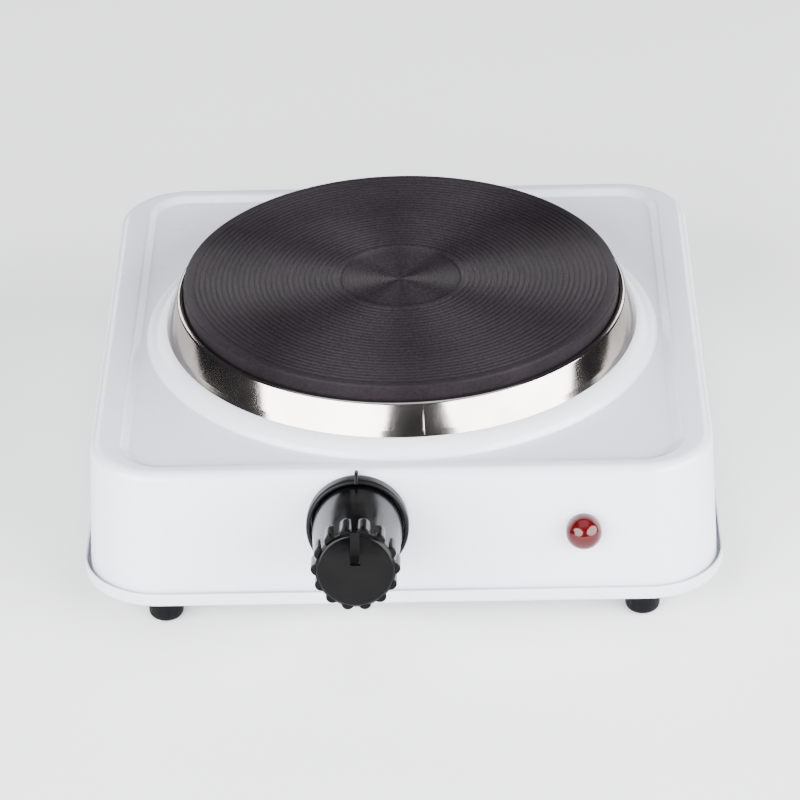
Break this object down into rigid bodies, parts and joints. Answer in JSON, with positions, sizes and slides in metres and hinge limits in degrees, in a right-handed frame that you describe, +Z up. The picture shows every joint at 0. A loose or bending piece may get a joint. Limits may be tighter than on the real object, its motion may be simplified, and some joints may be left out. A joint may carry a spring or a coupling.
{
  "type": "hot plate burner",
  "caption": "Portable electric hot plate: white steel case with a grooved cast-iron burner, bright trim ring, black control knob, red pilot lamp and rubber feet.",
  "frame": {"origin": "centre of the whole object's footprint, on the surface it stands on", "axes": "+Z up along the burner's axis, -Y towards the control knob, +X to the right seen from the front"},
  "size_m": [0.2206, 0.257, 0.078],
  "materials": {
    "enamel": "gloss white stoved enamel",
    "pan_enamel": "gloss white stoved enamel",
    "cast_iron": "machined with fine concentric grooves, dark heat-proof coating",
    "chrome_trim": "polished stainless",
    "knob_black": "glossy black phenolic",
    "bezel_black": "satin black phenolic",
    "lens_red": "clear red lens",
    "foot_rubber": "matt black rubber",
    "gland_rubber": "matt black rubber",
    "zinc_steel": "bright zinc plate",
    "ceramic": "unglazed steatite",
    "packing": "pressed magnesia",
    "heater_wire": "oxidised resistance wire",
    "brass": "plain brass",
    "bimetal": "rolled strip",
    "bulb_glass": "clear glass",
    "holder_white": "moulded nylon",
    "resistor_body": "lacquered body",
    "sleeve_brown": "braided sleeve",
    "sleeve_red": "braided sleeve",
    "sleeve_blue": "braided sleeve",
    "sleeve_green": "braided sleeve"
  },
  "bodies": {
    "housing": {"bezel": "bezel_black", "bimetal_strip": "bimetal", "blade_crimps": "zinc_steel", "bottom_pan": "pan_enamel", "burner_cover": "zinc_steel", "burner_plate": "cast_iron", "cable_gland": "gland_rubber", "centre_stud": "zinc_steel", "ceramic_spacers": "ceramic", "clamp_bridge": "zinc_steel", "clamp_washer": "zinc_steel", "coil_packing": "packing", "contact_buttons": "brass", "earth_lug": "zinc_steel", "earth_nuts": "zinc_steel", "earth_screw": "zinc_steel", "fixed_blade": "brass", "foot_back_left": "foot_rubber", "foot_back_right": "foot_rubber", "foot_front_left": "foot_rubber", "foot_front_right": "foot_rubber", "glow_bulb": "bulb_glass", "heating_coils": "heater_wire", "lamp_holder": "holder_white", "lamp_lens": "lens_red", "lamp_resistor": "resistor_body", "lamp_speed_nut": "zinc_steel", "lead_earth": "sleeve_green", "lead_lamp_left": "sleeve_blue", "lead_lamp_right": "sleeve_brown", "lead_live": "sleeve_brown", "lead_neutral": "sleeve_blue", "lead_switched": "sleeve_red", "mains_block": "ceramic", "mains_block_screw": "zinc_steel", "moving_blade": "brass", "pan_screws": "zinc_steel", "pin_crimps": "zinc_steel", "plate_pins": "zinc_steel", "plate_terminal_body": "ceramic", "pole_screws": "brass", "stack_rivet": "zinc_steel", "stud_nuts": "zinc_steel", "stud_spacer": "zinc_steel", "thermostat_bush": "brass", "thermostat_frame": "zinc_steel", "thermostat_screws": "zinc_steel", "top_shell": "enamel", "trim_ring": "chrome_trim"},
    "knob": {"knob": "knob_black", "knob_clip": "zinc_steel", "spindle": "zinc_steel", "spindle_circlip": "zinc_steel"},
    "push_pin": {"push_pin": "ceramic"}
  },
  "joints": [
    {"name": "knob_turn", "type": "hinge", "parent": "housing", "child": "knob", "pos_m": [-0.0149, -0.08527, 0.0406], "axis": [0, 0.9833, -0.1822], "range_deg": [0, 270]},
    {"name": "push_pin_slide", "type": "slide", "parent": "housing", "child": "push_pin", "axis": [0, 0.9833, -0.1822], "range_m": [0, 0.0008]}
  ],
  "couplings": [
    {"joint": "push_pin_slide", "follows": "knob_turn", "m_per_rad": 0.00016892}
  ]
}
